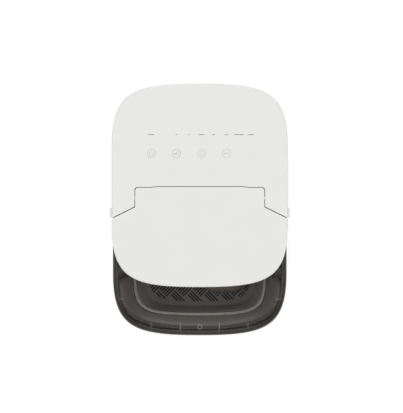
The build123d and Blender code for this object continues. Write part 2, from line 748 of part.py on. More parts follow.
# The probe's block is fixed to the frame's left cheek.
PROBE_X = -FRAME_X - 7.5
PROBE_Y = TANK_BACK + TANK_INSIDE - 5.0
with BuildPart() as level_probe:
    with BuildSketch(Plane.XY.offset(240.0)):
        with Locations((PROBE_X, PROBE_Y)):
            Rectangle(9.0, 8.0)
    extrude(amount=16.0)
    with BuildSketch(Plane.XY.offset(110.0)):
        with Locations((PROBE_X - 2.5, PROBE_Y), (PROBE_X + 2.5, PROBE_Y)):
            Circle(1.5)
    extrude(amount=131.0)
save(level_probe, "level_probe")

# ---- water side ----
with BuildPart() as water_pump:
    with BuildSketch(Plane.XY.offset(38.0)):
        with Locations((PUMP_X, PUMP_Y)):
            Circle(18.0)
    extrude(amount=34.0)
    with BuildSketch(Plane.XY.offset(72.0)):
        with Locations((PUMP_X, PUMP_Y)):
            Circle(6.0)
    extrude(amount=TANK_FLOOR - 72.0)
    with BuildSketch(Plane.XY.offset(46.0)):
        with Locations((PUMP_X, PUMP_Y)):
            Circle(13.0)
    extrude(amount=12.0, mode=Mode.SUBTRACT)
    with BuildSketch(Plane.XY.offset(58.0)):
        with Locations((PUMP_X, PUMP_Y)):
            Circle(3.5)
    extrude(amount=TANK_FLOOR - 58.0, mode=Mode.SUBTRACT)
    with BuildSketch(Plane.XY.offset(40.0)):
        with Locations((PUMP_X, PUMP_Y)):
            Circle(1.5 + RUNNING)
    extrude(amount=6.0, mode=Mode.SUBTRACT)
    with BuildSketch(Plane.XZ.offset(-PUMP_Y - 16.0)):
        with Locations((PUMP_X, 52.0)):
            Circle(4.5)
    extrude(amount=-10.0)
    # Three legs down to the base.
    with BuildSketch(Plane.XY.offset(BASE_TOP)):
        with Locations((PUMP_X, PUMP_Y)):
            with PolarLocations(13.0, 3):
                Circle(3.0)
    extrude(amount=38.0 - BASE_TOP)
save(water_pump, "water_pump")

with BuildPart() as pump_impeller:
    with BuildSketch(Plane((PUMP_X, PUMP_Y, 48.0))):
        Circle(4.0)
        with PolarLocations(6.5, 5):
            Rectangle(9.0, 1.4)
    extrude(amount=7.0)
    with BuildSketch(Plane((PUMP_X, PUMP_Y, 41.0))):
        Circle(1.5)
    extrude(amount=7.0)
save(pump_impeller, "pump_impeller")

HOSE_Y = TANK_BACK + TANK_OUTSIDE + 5.0
fill_hose = pipe(
    [
        (PUMP_X, PUMP_Y + 26.0, 52.0),
        (PUMP_X, 26.0, 52.0),
        (8.0, HOSE_Y, 52.0),
        (8.0, HOSE_Y, 260.0),
        (8.0, TANK_BACK - 9.0, 260.0),
    ],
    6.0,
    4.0,
)
save(fill_hose, "fill_hose")

with BuildPart() as drain_pipe:
    with BuildSketch(Plane.XY.offset(DRAIN_Z - 6.0)):
        with Locations((60.0, DRAIN_Y)):
            Circle(6.0)
    extrude(amount=TANK_FLOOR - DRAIN_Z + 6.0)
    with BuildSketch(Plane.YZ.offset(60.0)):
        with Locations((DRAIN_Y, DRAIN_Z)):
            Circle(6.0)
    extrude(amount=WIDTH / 2 - SKIN_INSET - 60.0)
    with BuildSketch(Plane.YZ.offset(WIDTH / 2 - SKIN_INSET - WALL)):
        with Locations((DRAIN_Y, DRAIN_Z)):
            Circle(8.8)
    extrude(amount=WALL)
    with BuildSketch(Plane.XY.offset(DRAIN_Z)):
        with Locations((60.0, DRAIN_Y)):
            Circle(3.5)
    extrude(amount=TANK_FLOOR - DRAIN_Z, mode=Mode.SUBTRACT)
    with BuildSketch(Plane.YZ.offset(60.0)):
        with Locations((DRAIN_Y, DRAIN_Z)):
            Circle(4.0)
    extrude(amount=WIDTH / 2 - SKIN_INSET - 60.0, mode=Mode.SUBTRACT)
save(drain_pipe, "drain_pipe")

with BuildPart() as drain_plug:
    with BuildSketch(Plane.YZ.offset(WIDTH / 2 - SKIN_INSET)):
        with Locations((DRAIN_Y, DRAIN_Z)):
            Circle(8.0)
    extrude(amount=1.4)
    with BuildSketch(Plane.YZ.offset(WIDTH / 2 - SKIN_INSET)):
        with Locations((DRAIN_Y, DRAIN_Z)):
            Circle(4.0 - RUNNING)
    extrude(amount=-12.0)
save(drain_plug, "drain_plug")

# ---- refrigeration ----
COMPRESSOR_X = -45.0
COMPRESSOR_Y = 105.0
FEET_RING = 36.0
with BuildPart() as compressor:
    with BuildSketch(Plane.XY.offset(21.0)):
        with Locations((COMPRESSOR_X, COMPRESSOR_Y)):
            Circle(41.0)
    extrude(amount=89.0)
    fillet(compressor.faces().sort_by(Axis.Z)[-1].edges(), radius=18.0)
    with BuildSketch(Plane.XY.offset(18.0)):
        with Locations((COMPRESSOR_X, COMPRESSOR_Y)):
            Circle(44.0)
    extrude(amount=3.0)
save(compressor, "compressor")

with BuildPart() as compressor_grommets:
    with BuildSketch(Plane.XY.offset(BASE_TOP)):
        with Locations((COMPRESSOR_X, COMPRESSOR_Y)):
            with PolarLocations(FEET_RING, 3):
                Circle(6.0)
    extrude(amount=18.0 - BASE_TOP)
save(compressor_grommets, "compressor_grommets")

with BuildPart() as condenser_coil:
    for fin in range(21):
        with BuildSketch(Plane.XY.offset(30.0 + 4.4 * fin)):
            with Locations((CONDENSER_X, CONDENSER_Y)):
                Rectangle(20.0, 60.0)
        extrude(amount=0.6)
    with BuildSketch(Plane.XY.offset(BASE_TOP)):
        with Locations((CONDENSER_X, CONDENSER_Y)):
            with GridLocations(10.0, 18.0, 2, 3):
                Circle(3.0)
    extrude(amount=120.0 - BASE_TOP)
save(condenser_coil, "condenser_coil")

FAN_PLANE = Plane(origin=(57.0, FAN_Y, FAN_Z), x_dir=(0, 1, 0), z_dir=(1, 0, 0))
with BuildPart(FAN_PLANE) as condenser_fan:
    with BuildSketch(FAN_PLANE):
        Circle(12.0)
    extrude(amount=14.0)
    with PolarLocations(0, 7):
        with Locations(Location((23.5, 0, 7.0), (35, 0, 0))):
            Box(27.0, 15.0, 1.6)
    with BuildSketch(FAN_PLANE):
        Circle(2.0)
    extrude(amount=-8.0)
save(condenser_fan, "condenser_fan")

with BuildPart() as fan_motor:
    with BuildSketch(FAN_PLANE.offset(-5.0)):
        Circle(16.0)
    extrude(amount=-22.0)
    with BuildSketch(FAN_PLANE.offset(-5.0)):
        Circle(2.0 + RUNNING)
    extrude(amount=-5.0, mode=Mode.SUBTRACT)
save(fan_motor, "fan_motor")

SHROUD = 84.0
with BuildPart() as fan_shroud:
    with BuildSketch(FAN_PLANE.offset(-3.0)):
        Circle(42.5)
        Circle(40.5, mode=Mode.SUBTRACT)
    extrude(amount=21.0)
    with BuildSketch(FAN_PLANE.offset(15.0)):
        RectangleRounded(SHROUD, SHROUD, 4.0)
        Circle(40.5, mode=Mode.SUBTRACT)
    extrude(amount=3.0)
    # Spokes and a ring that carry the motor.
    with BuildSketch(FAN_PLANE.offset(-5.0)):
        Circle(42.5)
        Circle(40.5, mode=Mode.SUBTRACT)
        with PolarLocations(29.0, 4):
            Rectangle(26.0, 4.0)
        Circle(18.5)
        Circle(6.0, mode=Mode.SUBTRACT)
    extrude(amount=2.0)
    # Two feet down to the base.
    with BuildSketch(FAN_PLANE.offset(15.0)):
        with Locations((-30.0, BASE_TOP - FAN_Z), (30.0, BASE_TOP - FAN_Z)):
            Rectangle(12.0, 26.0, align=(Align.CENTER, Align.MIN))
    extrude(amount=3.0)
save(fan_shroud, "fan_shroud")

with BuildPart() as filter_drier:
    with BuildSketch(Plane.XY.offset(150.0)):
        with Locations((40.0, 78.0)):
            Circle(8.0)
    extrude(amount=60.0)
    chamfer(filter_drier.edges().filter_by(GeomType.CIRCLE), length=4.0)
save(filter_drier, "filter_drier")

VALVE_X = 12.0
LINE_Y = 114.0
LINE_Z = 142.0
with BuildPart() as hot_gas_valve:
    with BuildSketch(Plane.XY.offset(LINE_Z - 9.0)):
        with Locations((VALVE_X, LINE_Y)):
            Rectangle(24.0, 18.0)
    extrude(amount=18.0)
    with BuildSketch(Plane.YZ):
        with Locations((LINE_Y, LINE_Z)):
            Circle(3.0 + RUNNING)
    extrude(amount=WIDTH / 2, both=True, mode=Mode.SUBTRACT)
save(hot_gas_valve, "hot_gas_valve")

with BuildPart() as valve_coil:
    with BuildSketch(Plane.XY.offset(LINE_Z + 9.0)):
        with Locations((VALVE_X, LINE_Y)):
            RectangleRounded(26.0, 22.0, 4.0)
    extrude(amount=24.0)
save(valve_coil, "valve_coil")

EVAPORATOR_BACK = TRAY_Y + 7.0
suction_line = pipe(
    [(-40.0, EVAPORATOR_BACK, 272.0), (-40.0, 105.0, 272.0), (-40.0, 105.0, 110.0)], 14.0, 3.0
)
save(suction_line, "suction_line")

discharge_line = pipe(
    [(-50.0, LINE_Y, 110.0), (-50.0, LINE_Y, LINE_Z), (93.0, LINE_Y, LINE_Z), (93.0, LINE_Y, 120.0)], 10.0, 3.0
)
save(discharge_line, "discharge_line")

liquid_line = pipe(
    [(83.0, 78.0, 120.0), (83.0, 78.0, 134.0), (40.0, 78.0, 134.0), (40.0, 78.0, 150.0)], 7.0, 2.5
)
save(liquid_line, "liquid_line")

capillary_line = pipe(
    [(40.0, 78.0, 210.0), (40.0, 78.0, 272.0), (40.0, EVAPORATOR_BACK, 272.0)], 14.0, 2.0
)
save(capillary_line, "capillary_line")

hot_gas_line = pipe(
    [
        (VALVE_X, LINE_Y - 9.0, LINE_Z),
        (VALVE_X, 78.0, LINE_Z),
        (VALVE_X, 78.0, 272.0),
        (VALVE_X, EVAPORATOR_BACK, 272.0),
    ],
    12.0,
    2.5,
)
save(hot_gas_line, "hot_gas_line")
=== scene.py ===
import json
import math

import bmesh
import bpy
from mathutils import Matrix, Vector


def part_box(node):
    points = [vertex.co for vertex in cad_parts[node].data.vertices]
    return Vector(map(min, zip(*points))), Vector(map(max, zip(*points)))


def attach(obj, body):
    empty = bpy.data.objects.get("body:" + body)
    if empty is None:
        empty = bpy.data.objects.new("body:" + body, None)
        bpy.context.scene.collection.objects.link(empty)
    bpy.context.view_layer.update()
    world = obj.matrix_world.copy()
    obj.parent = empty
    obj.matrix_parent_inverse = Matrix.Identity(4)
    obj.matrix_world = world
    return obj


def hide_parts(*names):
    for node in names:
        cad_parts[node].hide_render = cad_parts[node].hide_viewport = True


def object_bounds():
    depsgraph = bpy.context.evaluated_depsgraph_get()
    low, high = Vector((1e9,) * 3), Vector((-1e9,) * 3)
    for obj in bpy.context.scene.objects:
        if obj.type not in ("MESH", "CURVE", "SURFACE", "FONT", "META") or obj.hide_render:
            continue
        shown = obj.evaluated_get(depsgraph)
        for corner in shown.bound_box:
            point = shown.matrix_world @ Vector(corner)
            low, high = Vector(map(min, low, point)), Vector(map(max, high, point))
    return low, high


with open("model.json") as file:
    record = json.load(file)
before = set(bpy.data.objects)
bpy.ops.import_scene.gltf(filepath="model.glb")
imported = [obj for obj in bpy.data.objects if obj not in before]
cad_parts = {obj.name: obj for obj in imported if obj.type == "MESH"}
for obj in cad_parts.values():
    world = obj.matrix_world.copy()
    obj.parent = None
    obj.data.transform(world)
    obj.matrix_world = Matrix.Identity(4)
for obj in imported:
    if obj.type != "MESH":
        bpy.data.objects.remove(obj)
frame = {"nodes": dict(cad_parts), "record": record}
cad_low, cad_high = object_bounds()

# ---- Camera ----
# It stands straight above the lid, far away on a very long lens, so that the walls of the tall
# body don't show round the top.
VIEW_HEIGHT = 0.5251
VIEW_CENTRE = (0.0022, 0.0039)
LENS = 1200.0
SENSOR = 36.0
lid_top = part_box("lid_panel")[1].z
camera = bpy.data.objects.new("camera", bpy.data.cameras.new("camera"))
camera.data.lens = LENS
camera.data.sensor_width = SENSOR
camera.location = (*VIEW_CENTRE, lid_top + VIEW_HEIGHT * LENS / SENSOR)
bpy.context.scene.collection.objects.link(camera)
bpy.context.scene.camera = camera
bpy.context.scene.view_settings.view_transform = "Standard"

# ---- Soft studio light ----
# Four wide softboxes stand round the object under a dim sky. None of them is overhead, so
# nothing bright is mirrored in the glossy lid.
SOFTBOX_SIZE = 1.8
SOFTBOX_AWAY = 2.2
SOFTBOX_HEIGHT = 2.3
SKY_STRENGTH = 0.47
for name, x, y, power in (
    ("softbox_front", 0.0, -SOFTBOX_AWAY, 20.5),
    ("softbox_back", 0.0, SOFTBOX_AWAY, 27.0),
    ("softbox_left", -SOFTBOX_AWAY, 0.0, 22.5),
    ("softbox_right", SOFTBOX_AWAY, 0.0, 22.5),
):
    light = bpy.data.lights.new(name, "AREA")
    light.size = SOFTBOX_SIZE
    light.energy = power
    softbox = bpy.data.objects.new(name, light)
    softbox.location = (x, y, SOFTBOX_HEIGHT)
    aim = Vector((0.0, 0.0, lid_top)) - softbox.location
    softbox.rotation_euler = aim.to_track_quat("-Z", "Y").to_euler()
    bpy.context.scene.collection.objects.link(softbox)


def linear(hex_colour):
    """Linear colour of an sRGB hex value, with alpha 1."""
    channels = [int(hex_colour[i : i + 2], 16) / 255 for i in (0, 2, 4)]
    return (*[c / 12.92 if c <= 0.04045 else ((c + 0.055) / 1.055) ** 2.4 for c in channels], 1.0)


sky = bpy.data.worlds.new("studio")
sky.use_nodes = True
sky_light = sky.node_tree.nodes["Background"]
sky_light.inputs["Color"].default_value = linear("FFFFFF")
sky_light.inputs["Strength"].default_value = SKY_STRENGTH
bpy.context.scene.world = sky

# ---- Floor ----
# A sheet of white studio paper, lit through from below so that it stays pale round the object.
# Its pulp shows only as a slight unevenness in how matt it is.
MM = 0.001
PAPER_HALF = 5.0
PAPER_DROP = 0.2 * MM
PULP = 1.5 * MM
PAPER_GLOW = 0.83
# Nearly all of a noise's values lie between these two.
NOISE_LOW, NOISE_HIGH = 0.3, 0.7


def add_node(tree, kind, values=None, links=None):
    """Adds a node with its input values and incoming links."""
    node = tree.nodes.new(kind)
    for name, value in (values or {}).items():
        node.inputs[name].default_value = value
    for name, source in (links or {}).items():
        tree.links.new(source, node.inputs[name])
    return node


def new_material(name):
    """An empty node material and its tree."""
    material = bpy.data.materials.new(name)
    material.use_nodes = True
    material.node_tree.nodes.clear()
    return material, material.node_tree


def link_piece(name, mesh):
    """A new object at the origin that holds the mesh."""
    piece = bpy.data.objects.new(name, mesh)
    bpy.context.scene.collection.objects.link(piece)
    return piece


paper, tree = new_material("studio_paper")
place = add_node(tree, "ShaderNodeTexCoord")
pulp = add_node(
    tree,
    "ShaderNodeTexNoise",
    {"Scale": 1 / PULP, "Detail": 2.0, "Roughness": 0.55},
    {"Vector": place.outputs["Object"]},
)
matt = add_node(
    tree,
    "ShaderNodeMapRange",
    {"From Min": NOISE_LOW, "From Max": NOISE_HIGH, "To Min": 0.8, "To Max": 0.95},
    {"Value": pulp.outputs["Fac"]},
)
lit_paper = add_node(
    tree,
    "ShaderNodeBsdfPrincipled",
    {"Base Color": linear("7E7E7D"), "Emission Color": linear("FFFFFF"), "Emission Strength": PAPER_GLOW},
    {"Roughness": matt.outputs["Result"]},
)
add_node(tree, "ShaderNodeOutputMaterial", links={"Surface": lit_paper.outputs["BSDF"]})

sheet = bmesh.new()
bmesh.ops.create_grid(sheet, x_segments=2, y_segments=2, size=PAPER_HALF)
bmesh.ops.translate(sheet, verts=sheet.verts, vec=(0, 0, cad_low.z - PAPER_DROP))
floor_mesh = bpy.data.meshes.new("floor")
sheet.to_mesh(floor_mesh)
sheet.free()
floor_mesh.materials.append(paper)
floor = link_piece("floor", floor_mesh)

# ---- White shells ----
# The housing, the rear cover and the lid panel are injection-moulded ABS. The cover closes the
# top of the housing, and the panel lies on the smoky window that carries it.
nodes = frame["nodes"]
body_of_node = {node: body for body, held in frame["record"]["behaviour"]["bodies"].items() for node in held}
WELD = 0.002 * MM
# A mould's flow marks are this many times as wide as its grain.
FLOW_TO_GRAIN = 30
FLOW_SHEEN = 0.04


def moulded(name, colour, roughness, grain_mm, depth_mm, ior=1.52, coat=0.0, alpha=1.0, painted_glow=0.0):
    """Moulded plastic, rubber or ferrite, or a stoved coat. Its grain is its relief, and slow
    flow marks vary its sheen."""
    material, tree = new_material(name)
    place = add_node(tree, "ShaderNodeTexCoord")
    grain = add_node(
        tree,
        "ShaderNodeTexNoise",
        {"Scale": 1 / (grain_mm * MM), "Detail": 2.0, "Roughness": 0.55},
        {"Vector": place.outputs["Object"]},
    )
    flow = add_node(
        tree,
        "ShaderNodeTexNoise",
        {"Scale": 1 / (grain_mm * FLOW_TO_GRAIN * MM), "Detail": 1.0, "Roughness": 0.55},
        {"Vector": place.outputs["Object"]},
    )
    sheen = add_node(
        tree,
        "ShaderNodeMapRange",
        {
            "From Min": NOISE_LOW,
            "From Max": NOISE_HIGH,
            "To Min": roughness - FLOW_SHEEN,
            "To Max": roughness + FLOW_SHEEN,
        },
        {"Value": flow.outputs["Fac"]},
    )
    relief = add_node(
        tree,
        "ShaderNodeBump",
        {"Strength": 0.5, "Distance": depth_mm * MM},
        {"Height": grain.outputs["Fac"]},
    )
    # painted_glow makes the plastic glow in its own colour: painted light, for parts that are no lamp.
    plastic = add_node(
        tree,
        "ShaderNodeBsdfPrincipled",
        {
            "Base Color": linear(colour),
            "IOR": ior,
            "Alpha": alpha,
            "Coat Weight": coat,
            "Emission Color": linear(colour),
            "Emission Strength": painted_glow,
        },
        {"Roughness": sheen.outputs["Result"], "Normal": relief.outputs["Normal"]},
    )
    add_node(tree, "ShaderNodeOutputMaterial", links={"Surface": plastic.outputs["BSDF"]})
    return material


def smooth_copy(node, material, bend=32):
    """The piece as it looks: the node's triangles joined up and shaded round its gentle bends."""
    mesh = nodes[node].data.copy()
    shape = bmesh.new()
    shape.from_mesh(mesh)
    bmesh.ops.remove_doubles(shape, verts=shape.verts, dist=WELD)
    shape.to_mesh(mesh)
    shape.free()
    if "custom_normal" in mesh.attributes:
        mesh.attributes.remove(mesh.attributes["custom_normal"])
    mesh.shade_smooth()
    mesh.set_sharp_from_angle(angle=math.radians(bend))
    mesh.materials.clear()
    mesh.materials.append(material)
    piece = link_piece(f"{node}_moulding", mesh)
    even = piece.modifiers.new("even_shading", "WEIGHTED_NORMAL")
    even.keep_sharp = True
    even.weight = 100
    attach(piece, body_of_node[node])
    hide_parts(node)
    return piece


# Spark-eroded steel leaves a grain of about 0.05 mm in the ABS, and the eye gets an even satin
# white whose highlights break up softly. The grain is drawn near 1 mm wide so that it can show.
white_abs = moulded("white_abs_spark_eroded", "DEDEDD", roughness=0.42, grain_mm=0.9, depth_mm=0.02)
for shell in ("rear_cover", "lid_panel", "outer_housing"):
    smooth_copy(shell, white_abs)

# ---- Printed touch keys and indicator marks ----
# Grey ink is pad-printed on the cover, a few hundredths of a millimetre thick. Four thin rings
# with plain signs in them mark the keys, and short dashes stand over the indicator lights.
KEY_PITCH = 31.8 * MM
FIRST_KEY_X = -61.3 * MM
KEY_Y = 71.4 * MM
KEY_R = 5.7 * MM
KEY_LINE = 0.7 * MM
THIN_LINE = 0.65 * MM
SQUARE_LINE = 0.55 * MM
SQUARE_LAP = 0.5 * MM
INK_LIFT = 0.02 * MM
INK_DEPTH = 0.04 * MM
BAR_ROUNDING = 0.35
# The screen's threads are about 0.05 mm apart. They are drawn coarser, as the finest that a
# close look can show.
SCREEN_WEAVE = 0.35 * MM


def print_ring(ink, x, y, outer, line, start=0.0, turn=360.0, steps=48):
    """Printed ring, or an arc of one, spun from its own cross-section."""
    centre = Vector((x, y, 0))
    height = Vector((0, 0, lid_top + INK_LIFT))
    first = Matrix.Rotation(math.radians(start), 4, "Z")
    section = [Vector((outer - line, 0, 0)), Vector((outer, 0, 0))]
    ends = [ink.verts.new(centre + first @ point + height) for point in section]
    edge = ink.edges.new(ends)
    bmesh.ops.spin(
        ink,
        geom=[*ends, edge],
        cent=centre,
        axis=(0, 0, 1),
        angle=math.radians(turn),
        steps=steps,
        use_merge=turn == 360.0,
    )


def print_bar(ink, x, y, long, thick, angle=0.0):
    """Printed bar with its corners rounded off."""
    place = Matrix.Translation((x, y, lid_top + INK_LIFT)) @ Matrix.Rotation(math.radians(angle), 4, "Z")
    size = Matrix.Diagonal((long, thick, 1, 1))
    made = bmesh.ops.create_grid(ink, x_segments=1, y_segments=1, size=0.5, matrix=place @ size)
    bmesh.ops.bevel(
        ink,
        geom=made["verts"],
        offset=thick * BAR_ROUNDING,
        segments=3,
        profile=0.5,
        affect="VERTICES",
        material=-1,
    )


def print_power(ink, x):
    """Open ring with an upright bar in its gap."""
    print_ring(ink, x, KEY_Y, 3.4 * MM, KEY_LINE, start=125, turn=290, steps=30)
    print_bar(ink, x, KEY_Y + 2.6 * MM, 2.6 * MM, KEY_LINE, 90)


def print_cubes(ink, x):
    """A small square and a large one, for the two sizes of ice."""
    for aside_mm, up_mm, side_mm in ((-1.9, -0.8, 1.9), (1.3, 0.5, 3.2)):
        centre = Vector((x + aside_mm * MM, KEY_Y + up_mm * MM))
        for turn in (0, 90, 180, 270):
            middle = centre + Matrix.Rotation(math.radians(turn), 2) @ Vector((0, side_mm / 2 * MM))
            print_bar(ink, middle.x, middle.y, side_mm * MM + SQUARE_LAP, SQUARE_LINE, turn)


def print_drop(ink, x):
    """Drop of water: the lower part of a ring, closed by two leaning bars."""
    print_ring(ink, x, KEY_Y - 0.5 * MM, 2.7 * MM, THIN_LINE, start=140, turn=260, steps=24)
    for lean in (-1, 1):
        print_bar(ink, x + lean * 1.1 * MM, KEY_Y + 2.0 * MM, 2.9 * MM, THIN_LINE, -lean * 56)


def print_wave(ink, x):
    """Four short bars that lean to and fro."""
    for step in range(4):
        lean = 1 if step % 2 else -1
        print_bar(ink, x + (step - 1.5) * 1.7 * MM, KEY_Y, 2.6 * MM, KEY_LINE, lean * 48)


def printed(name, ink, material):
    """Ends a print: it gets its thickness down into the cover and rides with the body."""
    bmesh.ops.recalc_face_normals(ink, faces=ink.faces)
    face_down = [face for face in ink.faces if face.normal.z < 0]
    bmesh.ops.reverse_faces(ink, faces=face_down)
    walls = bmesh.ops.extrude_face_region(ink, geom=ink.faces[:])
    sunk = [item for item in walls["geom"] if isinstance(item, bmesh.types.BMVert)]
    bmesh.ops.translate(ink, verts=sunk, vec=(0, 0, -INK_DEPTH))
    bmesh.ops.recalc_face_normals(ink, faces=ink.faces)
    mesh = bpy.data.meshes.new(name)
    ink.to_mesh(mesh)
    ink.free()
    mesh.materials.append(material)
    piece = link_piece(name, mesh)
    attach(piece, "body")


def printed_ink(name, colour):
    """Dried ink: one matt colour, with the weave of the screen in its sheen."""
    material, tree = new_material(name)
    place = add_node(tree, "ShaderNodeTexCoord")
    weave = add_node(
        tree,
        "ShaderNodeTexNoise",
        {"Scale": 1 / SCREEN_WEAVE, "Detail": 2.0, "Roughness": 0.55},
        {"Vector": place.outputs["Object"]},
    )
    sheen = add_node(
        tree,
        "ShaderNodeMapRange",
        {"From Min": NOISE_LOW, "From Max": NOISE_HIGH, "To Min": 0.5, "To Max": 0.7},
        {"Value": weave.outputs["Fac"]},
    )
    dried = add_node(
        tree,
        "ShaderNodeBsdfPrincipled",
        {"Base Color": linear(colour), "IOR": 1.5},
        {"Roughness": sheen.outputs["Result"]},
    )
    add_node(tree, "ShaderNodeOutputMaterial", links={"Surface": dried.outputs["BSDF"]})
    return material


ring_ink = printed_ink("pad_printed_light_grey_ink", "BDBDBC")
label_ink = printed_ink("pad_printed_grey_ink", "8A8A88")

for number, print_sign in enumerate((print_power, print_cubes, print_drop, print_wave)):
    key_x = FIRST_KEY_X + KEY_PITCH * number
    ink = bmesh.new()
    print_ring(ink, key_x, KEY_Y, KEY_R, KEY_LINE)
    print_sign(ink, key_x)
    printed(f"key_print_{number + 1}", ink, ring_ink)

# Plain dashes in place of words: where the middle of each is, and how long it is, in mm.
LABELS = (
    (-61.8, 7.4),
    (-29.6, 1.8),
    (-13.6, 1.8),
    (1.9, 7.0),
    (17.5, 3.0),
    (33.8, 4.6),
    (49.7, 11.6),
    (65.2, 7.2),
)
LABEL_Y = 95.3 * MM
LABEL_LINE = 1.05 * MM
ink = bmesh.new()
for middle_mm, long_mm in LABELS:
    print_bar(ink, middle_mm * MM, LABEL_Y, long_mm * MM, LABEL_LINE)
printed("label_print", ink, label_ink)

# ---- Smoky lid window ----
# Clear SAN tinted brown-grey, moulded in one piece against a polished tool: a pane under the
# white panel, a deep skirt round its front, and short ribs and a ring boss inside.
PANE_DEEP = 2.7 * MM
RIB_END_HIGH = 10 * MM
RIB_END_LOW = 17 * MM
LEVEL = 0.97
# The pane darkens what is under it by about half, and only the tool's slow waviness, a
# centimetre or so long, shows in what it mirrors.
pane_san = moulded(
    "smoky_san_polished", "171412", roughness=0.07, grain_mm=14.0, depth_mm=0.004, ior=1.56, alpha=0.12
)
# Seen along its thickness the tint adds up, so the skirt looks solid. The ends of the ribs are
# painted pale and made to glow in their own colour, a painted highlight that shows as fine pale
# lines.
skirt_san = moulded(
    "smoky_san_seen_edgeways", "2C2925", roughness=0.3, grain_mm=14.0, depth_mm=0.004, ior=1.36, alpha=0.86
)
rib_painted_highlight_san = moulded(
    "smoky_san_rib_end_painted_highlight", "98918A", roughness=0.3, grain_mm=14.0, depth_mm=0.004, ior=1.4, alpha=0.8, painted_glow=0.6
)
window = smooth_copy("lid_window", pane_san, bend=24)
window.data.materials.append(skirt_san)
window.data.materials.append(rib_painted_highlight_san)
pane_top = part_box("lid_window")[1].z
for face in window.data.polygons:
    level = abs(face.normal.z) > LEVEL
    if not (level and face.center.z > pane_top - PANE_DEEP):
        face.material_index = 1
    # Level faces at the ribs' lower ends take the pale, glowing painted highlight.
    if level and pane_top - RIB_END_LOW < face.center.z < pane_top - RIB_END_HIGH:
        face.material_index = 2

# ---- Bin bezel ----
# A brown-grey ABS dish in the shape of a horseshoe, laid on the liner round the bin's mouth. It
# falls from a raised outer edge in one smooth hollow to the mouth.
BEZEL_HALF = 104.9 * MM
BEZEL_FRONT = -151.8 * MM
BEZEL_REAR = -86.6 * MM
BEZEL_PULL = (16.0 * MM, 22.0 * MM)
REAR_CORNER = 11.0 * MM
FRONT_SHARE = 0.8
MOUTH_HALF = 85.0 * MM
MOUTH_FRONT = -135.4 * MM
MOUTH_CORNER = 52.0 * MM
MOUTH_PULL = (8.0 * MM, 4.0 * MM)
DISH_LOW = 283.0 * MM
DISH_DEEP = 4.4 * MM
DISH_HOLLOW = 1.7
DISH_LIP = 3.2 * MM
LIP_SHARPNESS = 12
DISH_WALL = 1.2 * MM
DISH_ALONG = 96
DISH_ACROSS = 24


def bezier(points, t):
    """Point on a cubic curve."""
    a, b, c, d = [Vector(point) for point in points]
    s = 1 - t
    return a * s**3 + b * 3 * s * s * t + c * 3 * s * t * t + d * t**3


def bezel_edge(t):
    """Outer edge of the dish, from the middle of the front to its right rear end."""
    corner_y = BEZEL_REAR - REAR_CORNER
    if t < FRONT_SHARE:
        x, y = BEZEL_HALF, BEZEL_FRONT
        points = ((0, y), (x - BEZEL_PULL[0], y), (x, y + BEZEL_PULL[1]), (x, corner_y))
        return bezier(points, t / FRONT_SHARE)
    angle = (t - FRONT_SHARE) / (1 - FRONT_SHARE) * math.pi / 2
    centre = Vector((BEZEL_HALF - REAR_CORNER, corner_y))
    return centre + REAR_CORNER * Vector((math.cos(angle), math.sin(angle)))


def mouth_edge(t, inset=0.0):
    """Edge of the bin's mouth, from the middle of the front to the right end of its corner."""
    x, y = MOUTH_HALF - inset, MOUTH_FRONT + inset
    return bezier(((0, y), (x - MOUTH_PULL[0], y), (x, y + MOUTH_PULL[1]), (x, y + MOUTH_CORNER)), t)


dish = bmesh.new()
bmesh.ops.create_grid(dish, x_segments=DISH_ALONG, y_segments=DISH_ACROSS, size=1.0)
for vert in dish.verts:
    along = abs(vert.co.x)
    inward = (vert.co.y + 1) / 2
    spot = bezel_edge(along).lerp(mouth_edge(along), inward)
    side = 1 if vert.co.x >= 0 else -1
    outward = 1 - inward
    height = DISH_LOW + DISH_DEEP * outward**DISH_HOLLOW + DISH_LIP * outward**LIP_SHARPNESS
    vert.co = (side * spot.x, spot.y, height)
bmesh.ops.remove_doubles(dish, verts=dish.verts, dist=0.01 * MM)
bmesh.ops.recalc_face_normals(dish, faces=dish.faces)
if sum(face.normal.z for face in dish.faces) < 0:
    bmesh.ops.reverse_faces(dish, faces=dish.faces)
dish_mesh = bpy.data.meshes.new("bin_bezel_dish")
dish.to_mesh(dish_mesh)
dish.free()
dish_mesh.shade_smooth()
# Polished but scuffed by ice, the dish has a soft gloss: a broad pale sheen lies along its
# hollow, and its inner edge stays dark.
gloss_abs = moulded(
    "brown_grey_abs_polished", "6A6460", roughness=0.34, grain_mm=9.0, depth_mm=0.01, coat=0.1
)
dish_mesh.materials.append(gloss_abs)
bezel = link_piece("bin_bezel_dish", dish_mesh)
wall = bezel.modifiers.new("wall", "SOLIDIFY")
wall.thickness = DISH_WALL
wall.offset = -1
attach(bezel, "body")
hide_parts("bin_bezel")

# ---- Bin liner ----
# One polypropylene moulding that hangs in the housing: the deck under the bezel, the shoulders
# beside it and the water tank below the basket.
# It has a fine matt grain, drawn a little over 1 mm wide so that it can show.
liner_pp = moulded("grey_pp_moulded", "C2C4BC", roughness=0.48, grain_mm=1.2, depth_mm=0.02)
# The tank part of the same moulding is painted darker, as painted shade for the dark below the
# basket, and it is a little glossier.
tank_painted_shade_pp = moulded("grey_pp_tank_painted_shade", "343533", roughness=0.36, grain_mm=1.2, depth_mm=0.02)
liner = smooth_copy("bin_liner", liner_pp)
liner.data.materials.append(tank_painted_shade_pp)
tank_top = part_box("ice_basket")[0].z
# Faces below the basket take the tank's painted shade.
for face in liner.data.polygons:
    if face.center.z < tank_top:
        face.material_index = 1

# ---- Ice basket ----
# Brown-grey polypropylene, moulded with a herringbone of drain slots in its floor. It lifts out
# of the liner, and its rolled rim is painted paler, as a painted highlight, so that it shows as one
# pale line round the mouth.
RIM_INSET = 1.5 * MM
RIM_R = 1.2 * MM
RIM_DROP = 2.9 * MM
RIM_STEPS = 40
basket_pp = moulded("brown_grey_pp_moulded", "BBB7B2", roughness=0.4, grain_mm=1.0, depth_mm=0.02)
smooth_copy("ice_basket", basket_pp)

